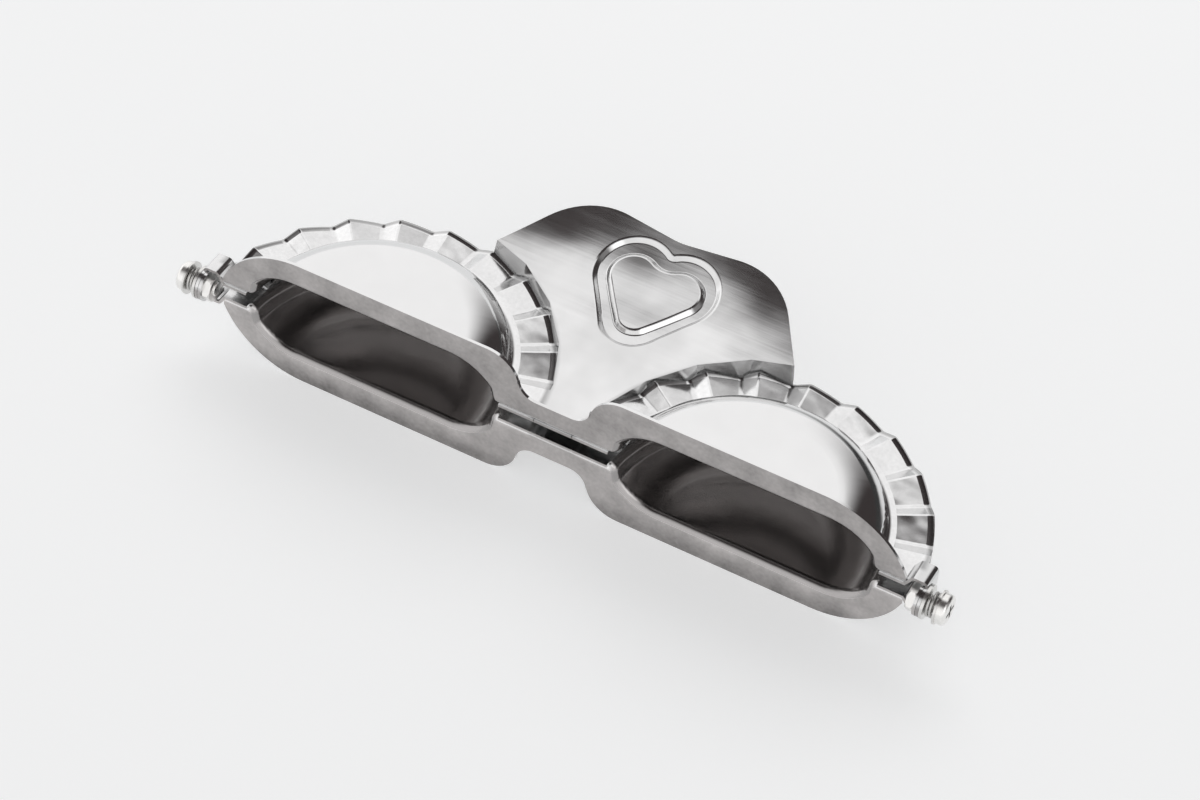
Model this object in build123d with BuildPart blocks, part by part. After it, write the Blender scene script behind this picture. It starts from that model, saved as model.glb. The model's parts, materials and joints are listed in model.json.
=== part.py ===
"""Empanada press: two identical stamped steel halves, each with a pair of half-round pans, a crimped
rim and a curved handle leaf, hinged together along their flanged front edge by two sprung screws.

The halves are drawn closed, with the hinge axis on X, the handle towards +Y and the closing plane
at Z = 0.  At the end the closed press is stood on a table: it leans back on the flange under its
pans and on the tips of the lower handle leaf.  All sizes are in millimetres.
"""

import os
from math import asin, atan, cos, degrees, hypot, radians, sin, sqrt, tan

from build123d import *

os.makedirs("parts", exist_ok=True)

# Sheet and closing plane
sheet = 0.8                 # thickness of the steel
seam = 2.0                  # from the closing plane to the inner face of each half
front_gap = 0.15            # from the hinge axis plane to the face of the front flange

# Pans
pan_spacing = 105.0         # between the centres of the two pans
pan_radius = 34.8           # inside, at the foot of the wall
pan_depth = 12.2            # from the closing plane to the inside of the pan's floor
pan_draft = 12.0            # degrees, of the wall
wall_top = 6.6              # inside, from the closing plane to where the shoulder begins
shoulder_slope = 52.0       # degrees, where the shoulder meets the wall
shoulder_radius = 13.6      # inside
shoulder_edge = 0.8         # inside radius between wall and shoulder
pan_foot = 1.8              # outside radius where the wall turns out into the rim

# Crimped rim
rim_radius = 47.0           # trimmed edge
crimp_start = 37.0          # radius where the crimps begin
crimp_count = 10
crimp_pitch = 16.4          # degrees from ridge to ridge
crimp_depth = 2.0
short_side = 1 / 3          # share of the pitch taken by the steeper side of a crimp
ridge_radius = 1.0
trough_radius = 2.2

# Front flange
bend_radius = 1.6           # inside radius of the bend
flange_over_pan = 8.5       # width above the pan's floor
flange_edge_strip = 9.0     # its free edge between the pans, above the closing plane
flange_beside_pan = 7.7     # width on the inner side of each pan
flange_strip_radius = 5.0
flange_inner_radius = 9.0
flange_outer_radius = 25.0
flange_tip = 4.6            # height of its free edge at the hinge end
root_depth = 3.6            # of the plain sheet behind the flange

# Handle leaf
leaf_flat = 8.0             # flat from the hinge, then curved away from the closing plane
leaf_radius = 200.0         # inside
leaf_side = 43.4            # half width where the side meets the rim
leaf_lobe_x = 28.1          # where the lines of side and end edge would cross
leaf_lobe_y = 69.0
leaf_notch_y = 65.9
leaf_round = 20.0
riser_draft = 12.0          # degrees, of the riser between the rim and the leaf

# Heart-shaped groove pressed into the leaf
heart_lobe = 10.5
heart_lobe_x = 6.5
heart_lobe_y = 53.3
heart_tip = 9.0
heart_tip_y = 41.8
heart_notch_radius = 2.0
groove_width = 4.6
groove_depth = 1.1
groove_draft = 1.2          # run of each sloped side of the groove
groove_edge = 0.9           # radius of the bulging edges of the groove
groove_bed = 0.5            # radius of its hollow edges

# Hinge ears
hinge_end = 96.5            # where the rim is cut square, from the middle
ear_radius = 4.4
tab_height = 4.9            # inner face of the tab above the closing plane
tab_width = 6.2
tab_front = 0.3             # front edge of the tab, behind the hinge axis
tab_run = 1.8               # run of the tab's slope
tab_bend = 0.7              # inside radius of the tab's bends
tab_relief = 0.6            # gap between the tab and the rim beside it
ear_face = 100.6            # inner face of the lower ears
play = 0.1                  # side play of the upper ear between lower ear and washer
hole_play = 0.08            # radial, between screw and ears

# Screws, nuts, washers and springs
screw_diameter = 4.0
head_diameter = 8.0
head_height = 2.4
head_round = 1.1
recess_width = 0.9
recess_length = 4.4
recess_depth = 1.4
nut_across = 7.0
nut_height = 2.2
nut_chamfer = 0.5
screw_end = 0.4             # end of the screw past the nut
screw_chamfer = 0.2
washer_diameter = 9.0
washer_height = 0.8
head_washer_height = 0.5
spring_length = 2.6
spring_diameter = 6.8
wire_diameter = 0.8
spring_turns = 2.0
thread_play = 0.02          # radial, between the nut's bore and the screw

# Worked out from the sizes above
fine = sheet / 50           # for telling edges apart
pan_centre = pan_spacing / 2
pan_locations = [(-pan_centre, 0), (pan_centre, 0)]
seam_outer = seam + sheet
pan_top = pan_depth + sheet
wall_top_radius = pan_radius - (wall_top - seam) * tan(radians(pan_draft))
floor_radius = wall_top_radius - (pan_depth - wall_top) / tan(radians(shoulder_slope))
flange_top = pan_depth + flange_over_pan
leaf_outer_radius = leaf_radius - sheet
leaf_side_y = sqrt(rim_radius**2 - (pan_centre - leaf_side) ** 2)
leaf_sweep = degrees(asin((leaf_lobe_y - leaf_flat) / leaf_outer_radius))
ceiling = leaf_side_y       # higher than anything on a half
riser_slope = tan(radians(riser_draft))
crimp_down = short_side * crimp_pitch
crimp_fall = 2 * crimp_depth / (crimp_start + rim_radius)   # of a trough, for each mm of radius
trough_start = 90 - (crimp_pitch - crimp_down) / 2 - (crimp_count // 2 - 1) * crimp_pitch
end_turn = crimp_pitch / 4    # degrees that the rim goes past the hinge line before it is cut there
die_depth = 2 * crimp_depth
die_radius = rim_radius + ceiling
tab_back = tab_front + tab_width
hole_radius = screw_diameter / 2 + hole_play
upper_ear_face = ear_face + sheet + play
washer_face = upper_ear_face + sheet + play
spring_face = washer_face + washer_height
head_washer_face = spring_face + spring_length
head_face = head_washer_face + head_washer_height
screw_tip = ear_face - nut_height - screw_end
FRONT = Plane.XZ.offset(-front_gap)     # the face of the front flange


def leaf_height(y):
    """Height of the leaf's outer face at a distance behind the hinge."""
    behind = max(y - leaf_flat, 0)
    return seam_outer + leaf_outer_radius - sqrt(leaf_outer_radius**2 - behind**2)


# ---------------------------------------------------------------- pans and front flange


def pan_corners(out):
    """Corners of a pan's profile from its floor to its foot, a distance out from the inner face."""
    corners = [(floor_radius, pan_depth), (wall_top_radius, wall_top), (pan_radius, seam)]
    slopes = [0, shoulder_slope, 90 - pan_draft, 0]
    moved = []
    for (x, z), before, after in zip(corners, slopes, slopes[1:]):
        between = radians((before + after) / 2)
        shift = out / cos(radians((after - before) / 2))
        moved.append((x + shift * sin(between), z + shift * cos(between)))
    return moved


def make_pan():
    """One half-round pan with its foot and the flat ring inside the crimps."""
    inner_radii = [shoulder_radius, shoulder_edge, pan_foot + sheet]
    outer_radii = [pan_foot, shoulder_edge + sheet, shoulder_radius + sheet]
    with BuildPart() as pan:
        with BuildSketch(Plane.XZ):
            with BuildLine():
                FilletPolyline(
                    (0, pan_depth),
                    *pan_corners(0),
                    (crimp_start + sheet, seam),
                    (crimp_start + sheet, seam_outer),
                    *reversed(pan_corners(sheet)),
                    (0, pan_top),
                    radius=[0, *inner_radii, 0, 0, *outer_radii, 0],
                    close=True,
                )
            make_face()
        revolve(axis=Axis.Z, revolution_arc=180)
    return pan.part


def make_pan_hollow():
    """The hollow of a pan, open down to the closing plane."""
    with BuildPart() as hollow:
        with BuildSketch(Plane.XZ):
            with BuildLine():
                FilletPolyline(
                    (0, pan_depth),
                    *pan_corners(0),
                    (crimp_start, seam),
                    (crimp_start, 0),
                    (0, 0),
                    radius=[0, shoulder_radius, shoulder_edge, pan_foot + sheet, 0, 0, 0],
                    close=True,
                )
            make_face()
        revolve(axis=Axis.Z)
    return hollow.part


def make_flange():
    """The front flange, with the root strip of plain sheet that it is bent from."""
    inner_x = pan_centre - pan_radius - flange_beside_pan
    drop = flange_top - flange_tip
    run = sqrt(flange_outer_radius**2 - (flange_outer_radius - drop) ** 2)
    hollow = make_pan_hollow()
    with BuildPart() as flange:
        with BuildSketch(FRONT):
            for side in (-1, 1):
                tip = (side * hinge_end, flange_tip)
                with BuildLine():
                    edge = FilletPolyline(
                        (0, flange_edge_strip),
                        (side * inner_x, flange_edge_strip),
                        (side * inner_x, flange_top),
                        (side * (hinge_end - run), flange_top),
                        radius=[flange_strip_radius, flange_inner_radius],
                    )
                    TangentArc(edge @ 1, tip, tangent=(side, 0))
                    Polyline(tip, (side * hinge_end, seam), (0, seam), (0, flange_edge_strip))
                make_face()
        extrude(amount=-sheet)
        with BuildSketch(Plane.XY.offset(seam)):
            with Locations((0, front_gap + root_depth / 2)):
                Rectangle(2 * hinge_end, root_depth)
        extrude(amount=sheet)
        with Locations(*pan_locations):
            add(hollow, mode=Mode.SUBTRACT)
    return flange.part


def lies_at(edge, y):
    """True where the whole edge is in the plane at y."""
    return all(abs((edge @ share).Y - y) < fine for share in (0, 0.5, 1))


def bend_edges(part, y, other_y):
    """Edges in the plane at y that have no twin in the plane at other_y, without the two ends."""
    here = [edge for edge in part.edges() if lies_at(edge, y)]
    there = [edge.center() for edge in part.edges() if lies_at(edge, other_y)]
    return [
        edge
        for edge in here
        if abs(edge.center().X) < hinge_end - fine
        and all(hypot(edge.center().X - c.X, edge.center().Z - c.Z) > fine for c in there)
    ]


def make_front():
    """Both pans and the flange, joined by a rounded bend."""
    pan = make_pan()
    back = front_gap + sheet
    with BuildPart() as front:
        with Locations(*pan_locations):
            add(pan)
        split(bisect_by=FRONT, keep=Keep.BOTTOM)
        add(make_flange())
        fillet(bend_edges(front.part, back, front_gap), bend_radius)
        fillet(bend_edges(front.part, front_gap, back), bend_radius + sheet)
    return front.part


# ---------------------------------------------------------------- crimped rim


def crimp_line(angle, fall):
    """Direction of a line on the crimps, out from the pan's axis and falling by its share of the radius."""
    return Vector(cos(radians(angle)), sin(radians(angle)), -fall)


def make_crimp_wedge(start, ridge_start, ridge_end, end):
    """Sector under the crimps between two angles: up to a ridge, level along it and down again."""
    with BuildPart() as wedge:
        with BuildSketch(Plane.XY.offset(-die_depth)):
            with BuildLine():
                inner = CenterArc((0, 0), crimp_start - sheet, start, end - start)
                outer = CenterArc((0, 0), die_radius, start, end - start)
                Line(inner @ 0, outer @ 0)
                Line(inner @ 1, outer @ 1)
            make_face()
        extrude(amount=die_depth + seam)
        for foot, top in ((start, ridge_start), (end, ridge_end)):
            if foot != top:
                across = crimp_line(foot, crimp_fall).cross(crimp_line(top, 0))
                slope = Plane(origin=(0, 0, seam), z_dir=across if across.Z > 0 else -across)
                split(bisect_by=slope, keep=Keep.BOTTOM)
    return wedge.part


def make_crimp_die():
    """Everything under the inner face of one crimped rim."""
    troughs = [trough_start + index * crimp_pitch for index in range(crimp_count)]
    first, last = troughs[0], troughs[-1]
    wedges = [make_crimp_wedge(-end_turn, -end_turn, first - crimp_down, first)]
    for trough, following in zip(troughs, troughs[1:]):
        ridge = following - crimp_down
        wedges.append(make_crimp_wedge(trough, ridge, ridge, following))
    wedges.append(make_crimp_wedge(last, last + crimp_down, 180 + end_turn, 180 + end_turn))
    with BuildPart() as die:
        add(wedges)
        lines = [edge for edge in die.edges().filter_by(GeomType.LINE) if edge.center().Y > 0]
        radii = ((0, ridge_radius), (crimp_fall, trough_radius))
        for fall, radius in radii:
            level = [
                edge
                for edge in lines
                if abs(edge.center().Z - seam + fall * hypot(edge.center().X, edge.center().Y)) < fine
            ]
            fillet(level, radius)
            lines = [edge for edge in die.edges().filter_by(GeomType.LINE) if edge.center().Y > 0]
    return die.part


def make_ring(inner_radius, outer_radius):
    """Flat ring about a pan's axis from under the crimps up to the outer face of the plain sheet."""
    with BuildPart() as ring:
        with BuildSketch(Plane.XY.offset(-die_depth)):
            Circle(outer_radius)
            Circle(inner_radius, mode=Mode.SUBTRACT)
        extrude(amount=die_depth + seam_outer)
    return ring.part


def make_rim(die):
    """The crimped rim of one pan, with the step between its troughs and the pan's ring."""
    with BuildPart() as rim:
        add(make_ring(crimp_start, rim_radius))
        add(die.moved(Location((0, 0, sheet))), mode=Mode.INTERSECT)
        add(make_ring(crimp_start, crimp_start + sheet))
        add(die, mode=Mode.SUBTRACT)
        split(bisect_by=FRONT, keep=Keep.BOTTOM)
    return rim.part


# ---------------------------------------------------------------- handle leaf


def make_leaf_prism():
    """Everything above and below the outline of the leaf, back to the centres of the pans."""
    with BuildPart() as prism:
        with BuildSketch(Plane.XY.offset(-crimp_depth)):
            with BuildLine():
                FilletPolyline(
                    (-pan_centre, front_gap),
                    (-leaf_side, leaf_side_y),
                    (-leaf_lobe_x, leaf_lobe_y),
                    (0, leaf_notch_y),
                    (leaf_lobe_x, leaf_lobe_y),
                    (leaf_side, leaf_side_y),
                    (pan_centre, front_gap),
                    radius=[0, leaf_round, leaf_round, leaf_round, 0],
                )
                Line((-pan_centre, front_gap), (pan_centre, front_gap))
            make_face()
        extrude(amount=ceiling)
    return prism.part


def make_leaf_slab(low=None):
    """The plain curved sheet of the leaf at full width, or all that lies under its outer face."""
    with BuildPart() as slab:
        with BuildSketch(Plane.YZ):
            with BuildLine():
                outer = JernArc((leaf_flat, seam_outer), (1, 0), leaf_outer_radius, leaf_sweep)
                Line((front_gap, seam_outer), (leaf_flat, seam_outer))
                if low is None:
                    inner = JernArc((leaf_flat, seam), (1, 0), leaf_radius, leaf_sweep)
                    Polyline((front_gap, seam_outer), (front_gap, seam), (leaf_flat, seam))
                    Line(inner @ 1, outer @ 1)
                else:
                    far = (outer @ 1).X
                    Polyline((front_gap, seam_outer), (front_gap, low), (far, low), outer @ 1)
            make_face()
        extrude(amount=pan_centre, both=True)
    return slab.part


# ---------------------------------------------------------------- heart groove


def heart_plane(height):
    """The plane beside the leaf under the middle of the heart, at a height above the outer face."""
    middle = (heart_lobe_y + heart_tip_y) / 2
    slope = asin((middle - leaf_flat) / leaf_outer_radius)
    origin = (0, middle, leaf_height(middle))
    tangent = Plane(origin=origin, x_dir=(1, 0, 0), z_dir=(0, -sin(slope), sqrt(1 - sin(slope) ** 2)))
    return tangent.offset(height)


def heart_face(growth):
    """The outline of the heart, grown or shrunk, about the heart's middle."""
    middle = (heart_lobe_y + heart_tip_y) / 2
    sides = []
    for side in (-1, 1):
        with BuildSketch() as half:
            with Locations((side * heart_lobe_x, heart_lobe_y - middle)):
                Circle(heart_lobe)
            with Locations((0, heart_tip_y - middle)):
                Circle(heart_tip)
            make_hull()
        sides.append(half.sketch)
    with BuildSketch() as heart:
        for side in sides:
            add(side)
        notch = heart.vertices().sort_by_distance((0, heart_lobe_y - middle + heart_lobe))[0]
        fillet(notch, heart_notch_radius)
        if growth:
            offset(amount=growth)
    return heart.face()


def make_groove(spare, shallow, deep):
    """The groove as a ring with sloped sides, wider all round by spare, between two depths."""
    slope = groove_draft / groove_depth
    low = deep + sheet / 4
    outer = [heart_face(spare + sheet * slope), heart_face(spare - low * slope)]
    inner_edge = -groove_width - spare
    island = [heart_face(inner_edge - sheet * slope), heart_face(inner_edge + low * slope)]
    solids = []
    for faces in (outer, island):
        with BuildPart() as frustum:
            for face, height in zip(faces, (sheet, -low)):
                with BuildSketch(heart_plane(height)):
                    add(face)
            loft(ruled=True)
        solids.append(frustum.part)
    with BuildPart() as groove:
        add(solids[0])
        add(solids[1], mode=Mode.SUBTRACT)
        with BuildSketch(Plane.YZ):
            with BuildLine():
                ends = []
                for depth in (shallow, deep):
                    start = (leaf_flat, seam_outer - depth)
                    arc = JernArc(start, (1, 0), leaf_outer_radius + depth, leaf_sweep)
                    ends.append((arc @ 0, arc @ 1))
                Line(ends[0][0], ends[1][0])
                Line(ends[0][1], ends[1][1])
            make_face()
        extrude(amount=pan_centre, both=True, mode=Mode.INTERSECT)
    return groove.part


def groove_edges(part, depth):
    """Edges of the groove that lie at a depth below the outer face of the leaf."""
    height = seam_outer + leaf_outer_radius
    found = []
    for edge in part.edges().filter_by(GeomType.LINE, reverse=True):
        points = [edge @ share for share in (0, 1 / 3, 2 / 3, 1)]
        depths = [hypot(point.Y - leaf_flat, point.Z - height) - leaf_outer_radius for point in points]
        if max(depths) - fine < depth < min(depths) + fine and abs(edge.center().X) < leaf_lobe_x:
            found.append(edge)
    return found


def make_leaf_sheet():
    """The curved sheet of the leaf at full width, with the heart pressed into it."""
    with BuildPart() as leaf:
        add(make_leaf_slab())
        add(make_groove(sheet, sheet / 2, groove_depth + sheet))
        fillet(groove_edges(leaf.part, sheet), groove_bed)
        fillet(groove_edges(leaf.part, groove_depth + sheet), groove_edge)
        add(make_groove(0, -sheet / 2, groove_depth), mode=Mode.SUBTRACT)
        fillet(groove_edges(leaf.part, 0), groove_edge)
        fillet(groove_edges(leaf.part, groove_depth), groove_bed)
    return leaf.part


# ---------------------------------------------------------------- risers


def make_pan_well(growth=0):
    """The space over one pan inside the riser, or inside its outer face: one side for each crimp."""
    corner = trough_start - crimp_down / 2 - crimp_pitch
    half_pitch = radians(crimp_pitch / 2)
    radius = (rim_radius - sheet + growth / cos(radians(riser_draft))) / cos(half_pitch)
    with BuildPart() as well:
        with BuildSketch(Plane.XY.offset(-die_depth)):
            with BuildLine():
                points = [
                    crimp_line(corner + index * crimp_pitch, 0) * (radius - die_depth * riser_slope)
                    for index in range(crimp_count + 3)
                ]
                Polyline(*points, close=True)
            make_face()
        extrude(amount=die_depth + ceiling, taper=-riser_draft)
    return well.part


def make_leaf(die):
    """The handle leaf with its two risers."""
    well = make_pan_well()
    grown_well = make_pan_well(sheet)
    prism = make_leaf_prism()
    with BuildPart() as leaf:
        add(make_leaf_sheet())
        with Locations(*pan_locations):
            add(well, mode=Mode.SUBTRACT)
        add(prism, mode=Mode.INTERSECT)
    with BuildPart() as riser:
        add(grown_well)
        add(well, mode=Mode.SUBTRACT)
        add(die, mode=Mode.SUBTRACT)
    with BuildPart() as risers:
        with Locations(*pan_locations):
            add(riser.part)
        add(make_leaf_slab(low=-crimp_depth), mode=Mode.INTERSECT)
        add(prism, mode=Mode.INTERSECT)
    with BuildPart() as whole:
        add(leaf.part)
        add(risers.part)
        split(bisect_by=FRONT, keep=Keep.BOTTOM)
    return whole.part


# ---------------------------------------------------------------- hinge ears


def make_tab(face):
    """The bent tab and round ear at the right end of a half, with the ear's inner face at a given X."""
    slope = atan((tab_height - seam) / tab_run)
    shift = sheet * tan(slope / 2)
    top_x = hinge_end + tab_run
    root_x = hinge_end - sheet
    with BuildPart() as tab:
        with BuildSketch(Plane.XZ.offset(-tab_front)):
            with BuildLine():
                FilletPolyline(
                    (root_x - sheet, seam),
                    (hinge_end, seam),
                    (top_x, tab_height),
                    (face, tab_height),
                    (face, 0),
                    (face + sheet, 0),
                    (face + sheet, tab_height + sheet),
                    (top_x - shift, tab_height + sheet),
                    (hinge_end - shift, seam_outer),
                    (root_x - sheet, seam_outer),
                    radius=[
                        0, tab_bend + sheet, tab_bend, tab_bend, 0,
                        0, tab_bend + sheet, tab_bend + sheet, tab_bend, 0,
                    ],
                    close=True,
                )
            make_face()
        extrude(amount=-tab_width)
        with BuildSketch(Plane.YZ.offset(face)):
            Circle(ear_radius)
        extrude(amount=sheet)
        with BuildSketch(Plane.YZ.offset(face)):
            Circle(hole_radius)
        extrude(amount=sheet, mode=Mode.SUBTRACT)
    return tab.part


# ---------------------------------------------------------------- the two halves


def make_stamping():
    """One half without its tabs: the lower half is this stamping turned about Y."""
    die = make_crimp_die()
    rim = make_rim(die)
    with BuildPart() as stamping:
        add(make_front())
        with Locations(*pan_locations):
            add(rim)
        add(make_leaf(die))
        for side in (-1, 1):
            with Locations((side * (hinge_end + ceiling / 2), 0, 0)):
                Box(ceiling, 2 * (tab_back + tab_relief), ceiling, mode=Mode.SUBTRACT)
    return stamping.part


def make_half(stamping, face):
    """A stamping with its two tabs."""
    tab = make_tab(face)
    with BuildPart() as half:
        add(stamping)
        add(tab)
        add(tab.mirror(Plane.YZ))
    return half.part


# ---------------------------------------------------------------- screw, nut, washers and spring


def make_screw():
    """Pan-head screw along X with its head at the outer end."""
    with BuildPart() as screw:
        with BuildSketch(Plane.YZ.offset(screw_tip)):
            Circle(screw_diameter / 2)
        extrude(amount=head_face - screw_tip)
        chamfer(screw.edges().sort_by(Axis.X)[0], screw_chamfer)
        with BuildSketch(Plane.YZ.offset(head_face)):
            Circle(head_diameter / 2)
        extrude(amount=head_height)
        fillet(screw.edges().sort_by(Axis.X)[-1], head_round)
        with BuildSketch(Plane.YZ.offset(head_face + head_height)):
            Rectangle(recess_width, recess_length)
            Rectangle(recess_length, recess_width)
        extrude(amount=-recess_depth, mode=Mode.SUBTRACT)
    return screw.part


def make_nut():
    """Hexagon nut against the inner face of the lower ear."""
    with BuildPart() as blank:
        with BuildSketch(Plane.YZ.offset(ear_face - nut_height)):
            Circle(nut_across / sqrt(3))
        extrude(amount=nut_height)
        chamfer(blank.edges(), nut_chamfer)
    with BuildPart() as nut:
        with BuildSketch(Plane.YZ.offset(ear_face - nut_height)):
            RegularPolygon(nut_across / 2, 6, major_radius=False)
            Circle(screw_diameter / 2 + thread_play, mode=Mode.SUBTRACT)
        extrude(amount=nut_height)
        add(blank.part, mode=Mode.INTERSECT)
    return nut.part


def make_washer(face, height):
    """Flat washer with its inner face at a given X."""
    with BuildPart() as washer:
        with BuildSketch(Plane.YZ.offset(face)):
            Circle(washer_diameter / 2)
            Circle(hole_radius, mode=Mode.SUBTRACT)
        extrude(amount=height)
    return washer.part


def make_spring():
    """Open coil between the two washers."""
    length = spring_length - wire_diameter
    radius = (spring_diameter - wire_diameter) / 2
    start = (spring_face + wire_diameter / 2, 0, 0)
    with BuildPart() as spring:
        with BuildLine():
            coil = Helix(length / spring_turns, length, radius, center=start, direction=(1, 0, 0))
        with BuildSketch(Plane(origin=coil @ 0, z_dir=coil % 0)):
            Circle(wire_diameter / 2)
        sweep()
    return spring.part


# ---------------------------------------------------------------- standing on the table

stamping = make_stamping()
upper_half = make_half(stamping, upper_ear_face)
lower_half = make_half(stamping, ear_face).rotate(Axis.Y, 180)

tip_y = stamping.bounding_box().max.Y
foot_y = front_gap + sheet
tilt = degrees(atan((flange_top - leaf_height(tip_y)) / (tip_y - foot_y)))
lean = Location((0, 0, 0), (-tilt, 0, 0))

washer = make_washer(washer_face, washer_height)
leaning = (upper_half.moved(lean), lower_half.moved(lean), washer.moved(lean))
boxes = [piece.bounding_box() for piece in leaning]
front_y = min(box.min.Y for box in boxes)
back_y = max(box.max.Y for box in boxes)
table_z = min(box.min.Z for box in boxes)
stand = Location((0, -(front_y + back_y) / 2, -table_z)) * lean

right = {
    "hinge_screw": make_screw(),
    "hinge_nut": make_nut(),
    "ear_washer": washer,
    "hinge_spring": make_spring(),
    "head_washer": make_washer(head_washer_face, head_washer_height),
}
pieces = {"upper_shell": upper_half, "lower_shell": lower_half}
for name, piece in right.items():
    pieces[f"right_{name}"] = piece
    pieces[f"left_{name}"] = piece.rotate(Axis.Z, 180)

for name, piece in pieces.items():
    with BuildPart(stand) as placed:
        add(piece)
    placed.part.label = name
    export_step(placed.part, f"parts/{name}.step")
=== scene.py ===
import json
from math import pi, radians

import bpy
from mathutils import Euler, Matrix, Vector

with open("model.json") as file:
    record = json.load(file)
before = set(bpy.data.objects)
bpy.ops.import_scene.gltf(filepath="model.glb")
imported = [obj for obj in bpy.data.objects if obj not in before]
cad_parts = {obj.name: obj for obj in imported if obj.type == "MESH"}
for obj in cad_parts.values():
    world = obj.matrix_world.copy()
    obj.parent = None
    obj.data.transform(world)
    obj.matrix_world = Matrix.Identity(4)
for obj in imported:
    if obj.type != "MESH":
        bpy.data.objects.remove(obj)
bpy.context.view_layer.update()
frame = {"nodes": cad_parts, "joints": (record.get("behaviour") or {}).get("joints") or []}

# ---------------------------------------------------------------- camera
# A long lens looks down on the closed press from its front right, so that the flange,
# both pans and the handle leaf all show.

camera_place = (0.2712, -0.4628, 0.7223)
camera_turn = (36.49, 1.26, 29.12)      # degrees about X, Y and Z
camera_lens = 105.4                     # mm
camera_sensor = 36.0                    # mm
camera_near = 0.02

bpy.ops.object.camera_add(location=camera_place, rotation=[radians(a) for a in camera_turn])
camera = bpy.context.object
camera.name = "camera"
camera.data.lens = camera_lens
camera.data.sensor_width = camera_sensor
camera.data.clip_start = camera_near
bpy.context.scene.camera = camera
bpy.context.scene.view_settings.view_transform = "Standard"


# ---------------------------------------------------------------- table
# A wide white table top that the press stands on.  The steel mirrors it too, except for its far
# right side, which lies in the dim part of the room.


class Wire:
    """One output of a shader node.  Sums, differences and products of wires add Math nodes."""

    def __init__(self, tree, socket=None):
        self.tree = tree
        self.socket = socket

    def node(self, kind, settings=None, inputs=None, output=0):
        """A new node: its settings are made first, then its sockets get values or wires."""
        made = self.tree.nodes.new(kind)
        for name, value in (settings or {}).items():
            setattr(made, name, value)
        for name, value in (inputs or {}).items():
            if isinstance(value, Wire):
                self.tree.links.new(value.socket, made.inputs[name])
            else:
                made.inputs[name].default_value = value
        return Wire(self.tree, made.outputs[output] if made.outputs else None)

    def beside(self, name):
        """Another output of the same node."""
        return Wire(self.tree, self.socket.node.outputs[name])

    def parts(self):
        """The X, Y and Z of a vector."""
        x = self.node("ShaderNodeSeparateXYZ", None, {0: self})
        return [x, x.beside("Y"), x.beside("Z")]

    def math(self, operation, *values):
        return self.node("ShaderNodeMath", {"operation": operation}, dict(enumerate(values)))

    def __add__(self, other):
        return self.math("ADD", self, other)

    __radd__ = __add__

    def __sub__(self, other):
        return self.math("SUBTRACT", self, other)

    def __rsub__(self, other):
        return self.math("SUBTRACT", other, self)

    def __mul__(self, other):
        return self.math("MULTIPLY", self, other)

    __rmul__ = __mul__

    def __abs__(self):
        return self.math("ABSOLUTE", self)

    def sign(self):
        return self.math("SIGN", self)

    def root(self):
        return self.math("SQRT", self)

    def step(self, low, high):
        """A smooth 0 to 1 as this value goes from low to high, either way round."""
        return self.node(
            "ShaderNodeMapRange",
            {"interpolation_type": "SMOOTHSTEP"},
            {"Value": self, "From Min": low, "From Max": high},
        )


def empty_tree(owner):
    """The bare node tree of a new material or world, as a wire to start from."""
    owner.use_nodes = True
    owner.node_tree.nodes.clear()
    return Wire(owner.node_tree)


def grey(level, warmth=0.0):
    return (level * (1 + warmth), level, level * (1 - warmth), 1.0)


table_size = 6.0
table_paint = grey(0.80, -0.004)
table_lift = 0.53                       # glow that brings the lit table top up to white
dim_level = 0.05                        # of the far right side, as the steel mirrors it
dim_edge = (-0.04, 0.06)                # across the table, from white to dim
dim_start = (0.06, 0.12)                # towards the back, from white to dim
dim_spread = 0.1                        # how far the edge moves right for each metre back

bpy.ops.mesh.primitive_plane_add(size=table_size, location=(0, 0, 0))
table = bpy.context.object
table.name = "table"
table_top = bpy.data.materials.new("white_table")
start = empty_tree(table_top)
rays = start.node("ShaderNodeLightPath")
mirrored = rays.beside("Is Glossy Ray")
seen = rays.beside("Is Camera Ray") + mirrored + rays.beside("Is Transmission Ray")
paint = start.node("ShaderNodeBsdfDiffuse", None, {"Color": table_paint})
glow = start.node("ShaderNodeEmission", None, {"Color": table_paint, "Strength": table_lift})
white = start.node("ShaderNodeAddShader", None, {0: paint, 1: glow})
lit = start.node("ShaderNodeMixShader", None, {0: seen, 1: paint, 2: white})
x, y = start.node("ShaderNodeTexCoord", output="Object").parts()[:2]
far_right = (x - y * dim_spread).step(*dim_edge) * y.step(*dim_start)
dark = start.node("ShaderNodeEmission", None, {"Color": grey(dim_level), "Strength": 1.0})
surface = start.node("ShaderNodeMixShader", None, {0: mirrored * far_right, 1: lit, 2: dark})
start.node("ShaderNodeOutputMaterial", None, {"Surface": surface})
table.data.materials.append(table_top)


# ---------------------------------------------------------------- room and lamp
# One wide soft lamp stands behind the press.  The polished steel mirrors a large white window at
# the back left, a pale wall in front and a small softbox at the front right; the rest is dim.
# Directions run from -1 to 1 across to the right, to the back and up.

room_light = 0.40                       # on anything that isn't a mirror
room_white = 0.87                       # where the camera looks past the table
room_dark = 0.045
room_dark_red = 0.008                   # a trace more red in what the steel mirrors

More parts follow.
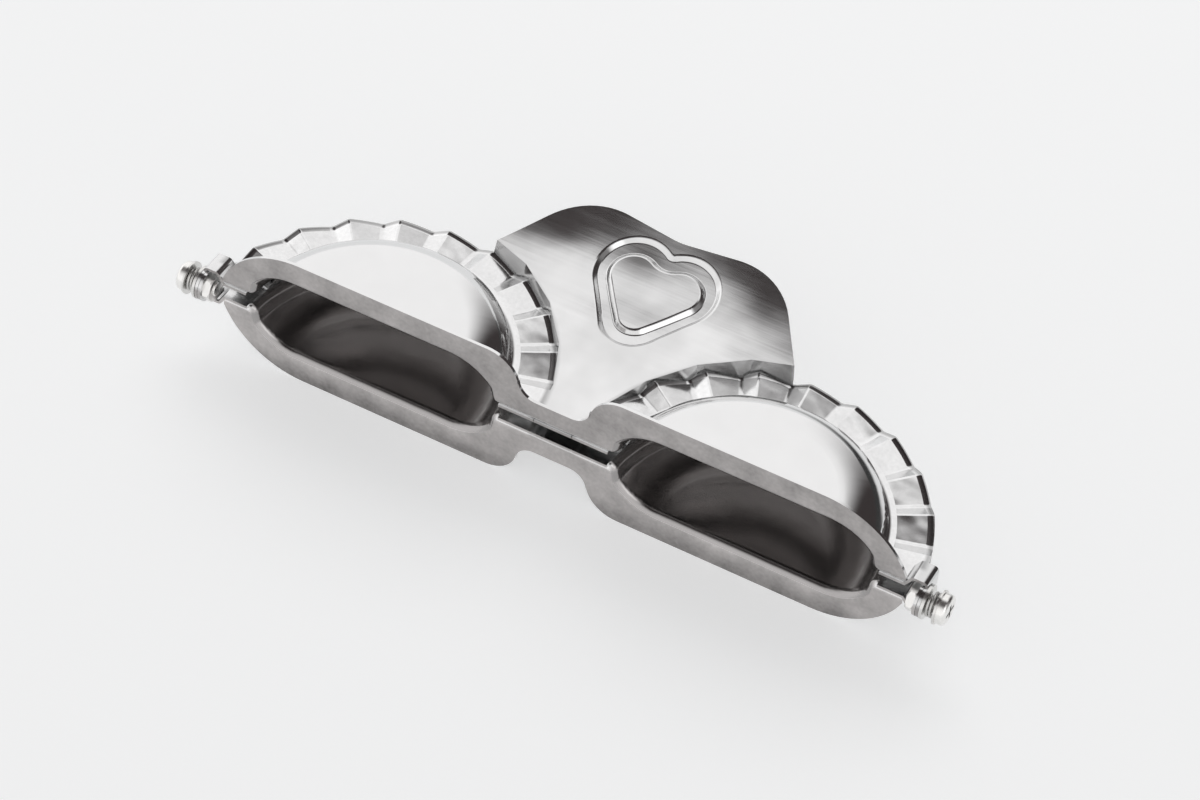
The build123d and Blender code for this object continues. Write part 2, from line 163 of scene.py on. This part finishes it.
overhead = (0.60, 0.85)                 # heights between which a direction becomes overhead
window_white = 1.08
window_right = (0.30, -0.27)            # from dim to white, going left
window_right_lean = 0.6                 # how far that edge moves right overhead
window_front = (-0.35, 0.1)             # from dim to white, going back
window_top = (0.48, 0.34)               # overhead, from white to dim, coming forward
window_top_lean = 0.1
wall_white = 0.85
wall_top = (0.94, 0.78)
wall_side = (0.0, -0.35)                # from dim to pale, going to the front
softbox_white = 0.7
softbox_place = (0.6, -0.25)            # its middle, across and back
softbox_edge = (0.14, 0.03)             # squared distance from its middle
softbox_low = (0.2, 0.4)
haze_white = 0.22                       # faint light from the sides and the front
haze_back = (0.65, 0.3)
haze_top = (0.8, 0.5)
haze_low = (-0.2, 0.1)
colour_a, colour_b, colour_out = 6, 7, 2    # a Mix node's sockets for colours

room = bpy.data.worlds.new("room")
bpy.context.scene.world = room
start = empty_tree(room)
across, back, up = start.node("ShaderNodeTexCoord", output="Generated").parts()
high = up.step(*overhead)
window = (across - high * window_right_lean).step(*window_right) * back.step(*window_front)
window = window * (1 - high * (back - across * window_top_lean).step(*window_top))
wall = up.step(*wall_top) * back.step(*wall_side)
aside = across - softbox_place[0]
behind = back - softbox_place[1]
softbox = (aside * aside + behind * behind).step(*softbox_edge) * up.step(*softbox_low)
haze = back.step(*haze_back) * up.step(*haze_top) * up.step(*haze_low)
level = window * window_white + wall * wall_white + softbox * softbox_white
level = level + haze * haze_white + room_dark
reds = level + room_dark_red
colour = start.node("ShaderNodeCombineColor", None, {0: reds, 1: level, 2: level})
rays = start.node("ShaderNodeLightPath")
for ray, plain in (("Is Diffuse Ray", room_light), ("Is Camera Ray", room_white)):
    colours = {0: rays.beside(ray), colour_a: colour, colour_b: grey(plain)}
    colour = start.node("ShaderNodeMix", {"data_type": "RGBA"}, colours, colour_out)
light = start.node("ShaderNodeBackground", None, {"Color": colour, "Strength": 1.0})
start.node("ShaderNodeOutputWorld", None, {"Surface": light})

lamp_place = (-0.25, 0.9, 1.1)
lamp_width = 1.2
lamp_height = 0.8
lamp_power = 4.0                        # W

bpy.ops.object.light_add(type="AREA", location=lamp_place)
lamp = bpy.context.object
lamp.name = "back_lamp"
lamp.data.shape = "RECTANGLE"
lamp.data.size = lamp_width
lamp.data.size_y = lamp_height
lamp.data.energy = lamp_power
lamp.visible_glossy = False
lamp.rotation_euler = (-lamp.location).to_track_quat("-Z", "Y").to_euler()


# ---------------------------------------------------------------- stamped halves
# Each half is one stamping of 0.8 mm stainless steel.  The pans are polished bright, the leaf is
# brushed along the hinge, the crimps are scuffed by the dies, and the trimmed flange is satin.
# Painted shade darkens the pans' insides, the crease at the leaf's riser and the flange.
# The finishes and the painted shade are placed in each half's own frame: along the hinge, to the
# back and up.

hinge = frame["joints"][0]["pos_m"]
lean = radians(7.43)                    # of the closed press, back onto its leaf
pan_centre = 0.0525                     # from the middle of the press
pan_edge = (0.0370, 0.0355)             # radius, from crimps to pan
leaf_edge = (0.0452, 0.0467)            # radius, from crimps to leaf
crease_shade_radii = ((0.0453, 0.0464), (0.0482, 0.0462))     # radii of the painted shade line between them, at the riser's foot
crease_shade_start = (0.0030, 0.0045)         # behind the hinge, clear of the flange
flange_back = (0.0018, 0.0012)          # behind the hinge, where the flange ends
flange_facing = (0.88, 0.98)            # how much of its normal points to the front or back
flange_rise = (0.0135, 0.0205)          # up to its trimmed edge
inside_facing = (0.0, -0.002)           # from the pan's outside to its inside

steel_tone = 0.74
# Painted shade: the pans' insides and the crease at the riser's foot are darkened where shade
# falls; the leaf's small step is its brushed tone.
darker = {"inside": 0.36, "leaf": 0.05, "crease": 0.3}
# The flange's darker tone is partly its satin finish and partly painted shade; the difference
# between the two halves is painted shade.
flange_tone_and_shade = {"upper_shell": 0.35, "lower_shell": 0.28}
trim_painted_shade = {"upper_shell": 0.0, "lower_shell": 0.2}      # painted shade, more at the trimmed edge
warmer = {"flange": 0.045, "inside": 0.035}
warm_blue = 0.3                         # share of the warmth that blue loses
polished = 0.1                          # roughness of the pans' outside
rougher = {"leaf": 0.05, "crimps": 0.06, "flange": 0.28, "inside": 0.1}

brush_stretch = (18.0, 900.0, 900.0)    # lines for each metre, drawn out along the hinge
brush_detail = 4.0
patterns = {                            # blotches for each metre, and their detail
    "scuffs": (900.0, 3.0),
    "smears": (120.0, 3.0),
    "waves": (70.0, 2.0),
    "buckles": (30.0, 1.0),
}
middle = 0.5                            # of a pattern that runs from 0 to 1
uneven_tone = {
    "smears": {"all over": 0.06, "flange": 0.3},
    "waves": {"leaf": 0.3, "crimps": 0.2},
    "scuffs": {"crimps": 0.14, "flange": 0.16},
}
uneven_polish = {
    "brush": {"leaf": 0.1},
    "smears": {"all over": 0.06, "flange": 0.14},
}
relief = {                              # bump height, times bump_distance
    "brush": {"leaf": 0.3},
    "smears": {"flange": 4.0},
    "scuffs": {"flange": 0.8},
    "waves": {"leaf": 4.0, "crimps": 22.0, "flange": 14.0, "inside": 10.0},
    "buckles": {"leaf": 90.0},
}
bump_strength = 0.25
bump_distance = 0.0001


def shell_finish(node, turned):
    """Steel for one half; turned is true for the half that faces down."""
    steel = bpy.data.materials.new(f"{node}_steel")
    start = empty_tree(steel)

    turn = Euler((lean, pi if turned else 0.0, 0.0))
    shift = -(turn.to_matrix() @ Vector(hinge))
    place = start.node("ShaderNodeTexCoord", output="Object")
    own = start.node("ShaderNodeMapping", None, {0: place, "Location": shift, "Rotation": turn})
    x, y, z = own.parts()
    normal = {0: place.beside("Normal"), "Rotation": turn}
    facing = start.node("ShaderNodeMapping", {"vector_type": "NORMAL"}, normal).parts()

    from_pan = abs(x) - pan_centre
    radius = (from_pan * from_pan + y * y).root()
    outward = facing[0] * from_pan * x.sign() + facing[1] * y + facing[2] * z
    flange = y.step(*flange_back) * abs(facing[1]).step(*flange_facing)
    pan = radius.step(*pan_edge) * (1 - flange)
    leaf = radius.step(*leaf_edge) * (1 - flange)
    # The crease mask places a painted shade line where the crimps meet the leaf's riser.
    crease = radius.step(*crease_shade_radii[0]) * radius.step(*crease_shade_radii[1])
    areas = {
        "all over": 1.0,
        "flange": flange,
        "inside": pan * outward.step(*inside_facing),
        "leaf": leaf,
        "crimps": (1 - pan) * (1 - leaf) * (1 - flange),
        "crease": crease * y.step(*crease_shade_start),
    }

    drawn = start.node("ShaderNodeMapping", None, {0: own, "Scale": brush_stretch})
    brush = {"Vector": drawn, "Scale": 1.0, "Detail": brush_detail}
    noises = {"brush": start.node("ShaderNodeTexNoise", None, brush)}
    for name, (scale, detail) in patterns.items():
        blotches = {"Vector": own, "Scale": scale, "Detail": detail}
        noises[name] = start.node("ShaderNodeTexNoise", None, blotches)

    def spread(amounts):
        """The areas, each times its amount."""
        return sum(areas[name] * amount for name, amount in amounts.items())

    def worked(table, base=0.0):
        """The patterns, each above its base and times its amounts on the areas."""
        return sum((noises[name] - base) * spread(amounts) for name, amounts in table.items())

    # Painted shade on the flange: a darker tone, which on the lower half grows towards its
    # trimmed edge.
    trim = z.step(*flange_rise) * trim_painted_shade[node] + flange_tone_and_shade[node]
    tone = steel_tone - spread(darker) - flange * trim + worked(uneven_tone, middle)
    warmth = spread(warmer)
    channels = {0: tone * (1 + warmth), 1: tone, 2: tone * (1 - warmth * warm_blue)}
    colour = start.node("ShaderNodeCombineColor", None, channels)
    rough = polished + spread(rougher) + worked(uneven_polish, middle)
    bump = start.node(
        "ShaderNodeBump",
        None,
        {"Height": worked(relief), "Strength": bump_strength, "Distance": bump_distance},
    )
    surface = start.node(
        "ShaderNodeBsdfPrincipled",
        None,
        {"Base Color": colour, "Metallic": 1.0, "Roughness": rough, "Normal": bump},
    )
    start.node("ShaderNodeOutputMaterial", None, {"Surface": surface})
    return steel


for node, turned in (("upper_shell", False), ("lower_shell", True)):
    shell = frame["nodes"][node]
    shell.data.materials.clear()
    shell.data.materials.append(shell_finish(node, turned))


# ---------------------------------------------------------------- hinge screws and nuts
# An M4 pan-head screw joins the ears at each end and is held by a nut on the inner side.
# Both are bright zinc plated, and slightly blotched by handling.

metal_tint = (1.0, 0.99, 0.97)          # share of the tone in red, green and blue
blotch_detail = 3.0
blotch_depth = 0.1                      # of tone and of roughness
blotch_bump = 0.15


def dress(piece, finish, tone, rough, grain):
    """Blotched bare metal for a piece of both hinges; grain is its blotches for each metre."""
    metal = bpy.data.materials.new(finish)
    start = empty_tree(metal)
    place = start.node("ShaderNodeTexCoord", output="Object")
    blotches = {"Vector": place, "Scale": grain, "Detail": blotch_detail}
    noise = start.node("ShaderNodeTexNoise", None, blotches)
    uneven = (noise - middle) * blotch_depth
    level = tone + uneven
    channels = {channel: level * share for channel, share in enumerate(metal_tint)}
    colour = start.node("ShaderNodeCombineColor", None, channels)
    bump = start.node(
        "ShaderNodeBump",
        None,
        {"Height": noise, "Strength": blotch_bump, "Distance": bump_distance},
    )
    surface = start.node(
        "ShaderNodeBsdfPrincipled",
        None,
        {"Base Color": colour, "Metallic": 1.0, "Roughness": rough + uneven, "Normal": bump},
    )
    start.node("ShaderNodeOutputMaterial", None, {"Surface": surface})
    for side in ("left", "right"):
        node = frame["nodes"][f"{side}_{piece}"]
        node.data.materials.clear()
        node.data.materials.append(metal)


dress("hinge_screw", "screw_plating", tone=0.86, rough=0.28, grain=800.0)
dress("hinge_nut", "nut_plating", tone=0.80, rough=0.30, grain=900.0)


# ---------------------------------------------------------------- washers
# A flat washer bears on each outer ear and a thinner one under each screw head.  They are
# punched from plain steel sheet and tumbled, so they are duller than the screws.

dress("ear_washer", "washer_steel", tone=0.70, rough=0.26, grain=700.0)
dress("head_washer", "thin_washer_steel", tone=0.70, rough=0.24, grain=760.0)


# ---------------------------------------------------------------- springs
# A short coil of drawn wire sits on each screw between the two washers and keeps the ears
# pressed together.  Drawn wire is darker than the plated pieces.

dress("hinge_spring", "spring_wire", tone=0.55, rough=0.28, grain=1200.0)
